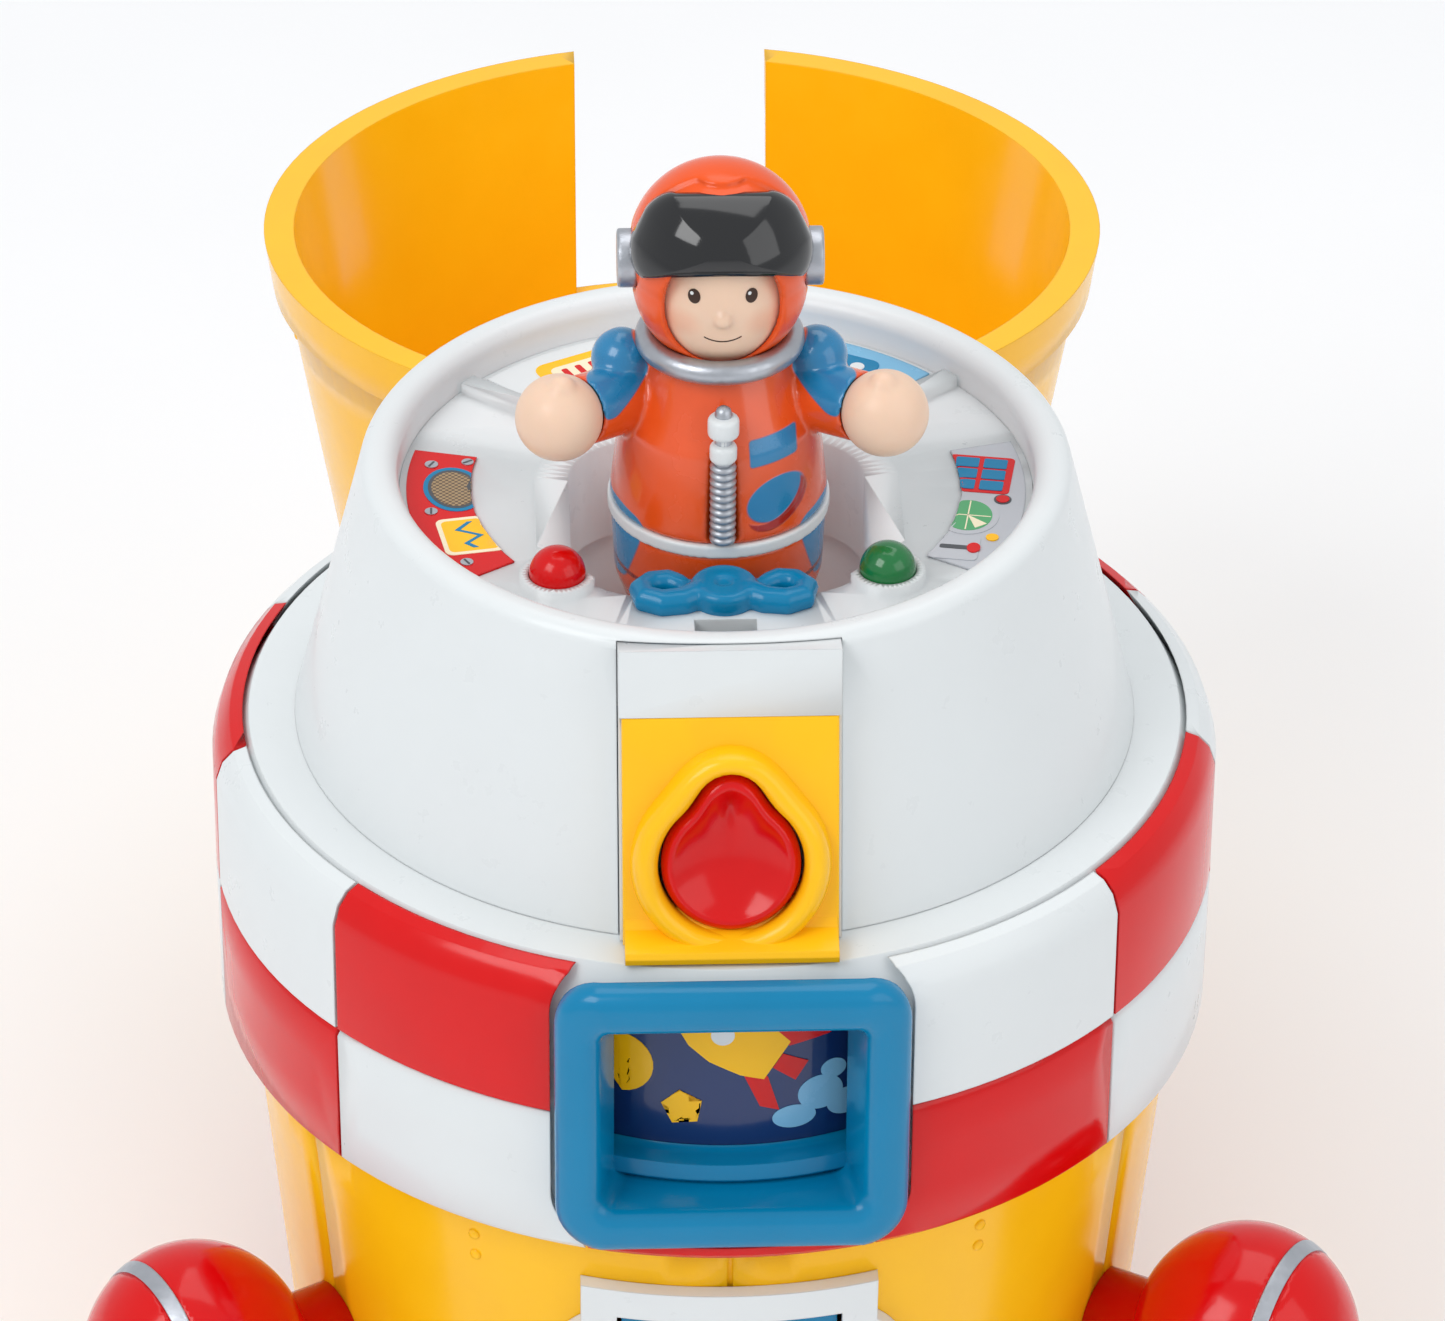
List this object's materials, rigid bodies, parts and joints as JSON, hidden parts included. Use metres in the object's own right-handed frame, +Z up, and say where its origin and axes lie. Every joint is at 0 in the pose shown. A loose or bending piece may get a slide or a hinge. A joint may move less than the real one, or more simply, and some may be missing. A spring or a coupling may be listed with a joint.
{
  "type": "toy space rocket",
  "caption": "Preschool plastic toy rocket with a flip-open nose cone, turning picture window, push latch, cargo door, boosters and a lift-out astronaut.",
  "frame": {"origin": "centre of the flat underside of the base plate, on the rocket's axis", "axes": "+Z up along the rocket's axis; the window, latch and cargo door face -Y; the open nose hangs at +Y"},
  "size_m": [0.1952, 0.2952, 0.2574],
  "materials": {
    "yellow": "gloss",
    "white": "satin",
    "red": "gloss",
    "blue": "gloss",
    "silver": "metallic paint",
    "green": "gloss",
    "grey": "satin",
    "steel": "bright",
    "print": "printed film",
    "orange": "gloss vinyl",
    "skin": "satin vinyl",
    "black": "gloss"
  },
  "bodies": {
    "rocket": {"body_shell": "yellow", "base_plate": "blue", "base_screws": "steel", "cargo_floor": "white", "door_frame": "white", "door_pin": "steel", "booster_front_left": "red", "booster_front_right": "red", "booster_rear_left": "red", "booster_rear_right": "red", "booster_stripes": "silver", "booster_nozzles": "silver", "band_core": "white", "band_tiles_red": "red", "band_tiles_white": "white", "window_frame": "blue", "drum_spindle": "white", "cockpit_shell": "white", "cockpit_tray": "white", "label_speaker": "print", "label_radar": "print", "label_rear_left": "print", "label_rear_right": "print", "latch_bracket": "white", "latch_plate": "yellow", "latch_spring": "steel", "hinge_bracket": "white", "hinge_pin": "steel"},
    "nose": {"nose_cone": "yellow"},
    "door": {"cargo_door": "blue"},
    "drum": {"picture_drum": "blue", "picture_sleeve": "print"},
    "button": {"latch_button": "red", "latch_catch": "grey"},
    "red_dome": {"dome_button_red": "red"},
    "green_dome": {"dome_button_green": "green"},
    "yoke": {"steering_yoke": "blue"},
    "astronaut": {"figure_suit": "orange", "figure_hands": "skin", "figure_belt": "white", "figure_hose": "silver", "figure_neck_ring": "silver", "figure_head": "skin", "figure_helmet": "orange", "figure_visor": "black", "figure_earpieces": "silver"}
  },
  "joints": [
    {"name": "nose_hinge", "type": "hinge", "parent": "rocket", "child": "nose", "pos_m": [0, 0.0737, 0.1622], "axis": [-1, 0, 0], "range_deg": [-183.7, 0]},
    {"name": "cargo_door_hinge", "type": "hinge", "parent": "rocket", "child": "door", "pos_m": [0, -0.06321, 0.0472], "axis": [1, 0, 0], "range_deg": [0, 95]},
    {"name": "picture_drum_spin", "type": "hinge", "parent": "rocket", "child": "drum", "pos_m": [0, -0.022, 0.14], "axis": [0, 0, 1], "continuous": true},
    {"name": "latch_press", "type": "slide", "parent": "rocket", "child": "button", "axis": [0, 0.9701, -0.2425], "range_m": [0, 0.0025], "stiffness_N_per_m": 400, "springref_m": -0.002, "deforming": ["latch_spring"]},
    {"name": "red_dome_press", "type": "slide", "parent": "rocket", "child": "red_dome", "axis": [0, 0, -1], "range_m": [0, 0.0012], "stiffness_N_per_m": 300, "springref_m": -0.001},
    {"name": "green_dome_press", "type": "slide", "parent": "rocket", "child": "green_dome", "axis": [0, 0, -1], "range_m": [0, 0.0012], "stiffness_N_per_m": 300, "springref_m": -0.001},
    {"name": "yoke_turn", "type": "hinge", "parent": "rocket", "child": "yoke", "pos_m": [0, -0.031, 0.198], "axis": [0, 0, 1], "range_deg": [-15, 15]},
    {"name": "astronaut_lift", "type": "slide", "parent": "rocket", "child": "astronaut", "axis": [0, 0, 1], "range_m": [0, 0.06]}
  ]
}
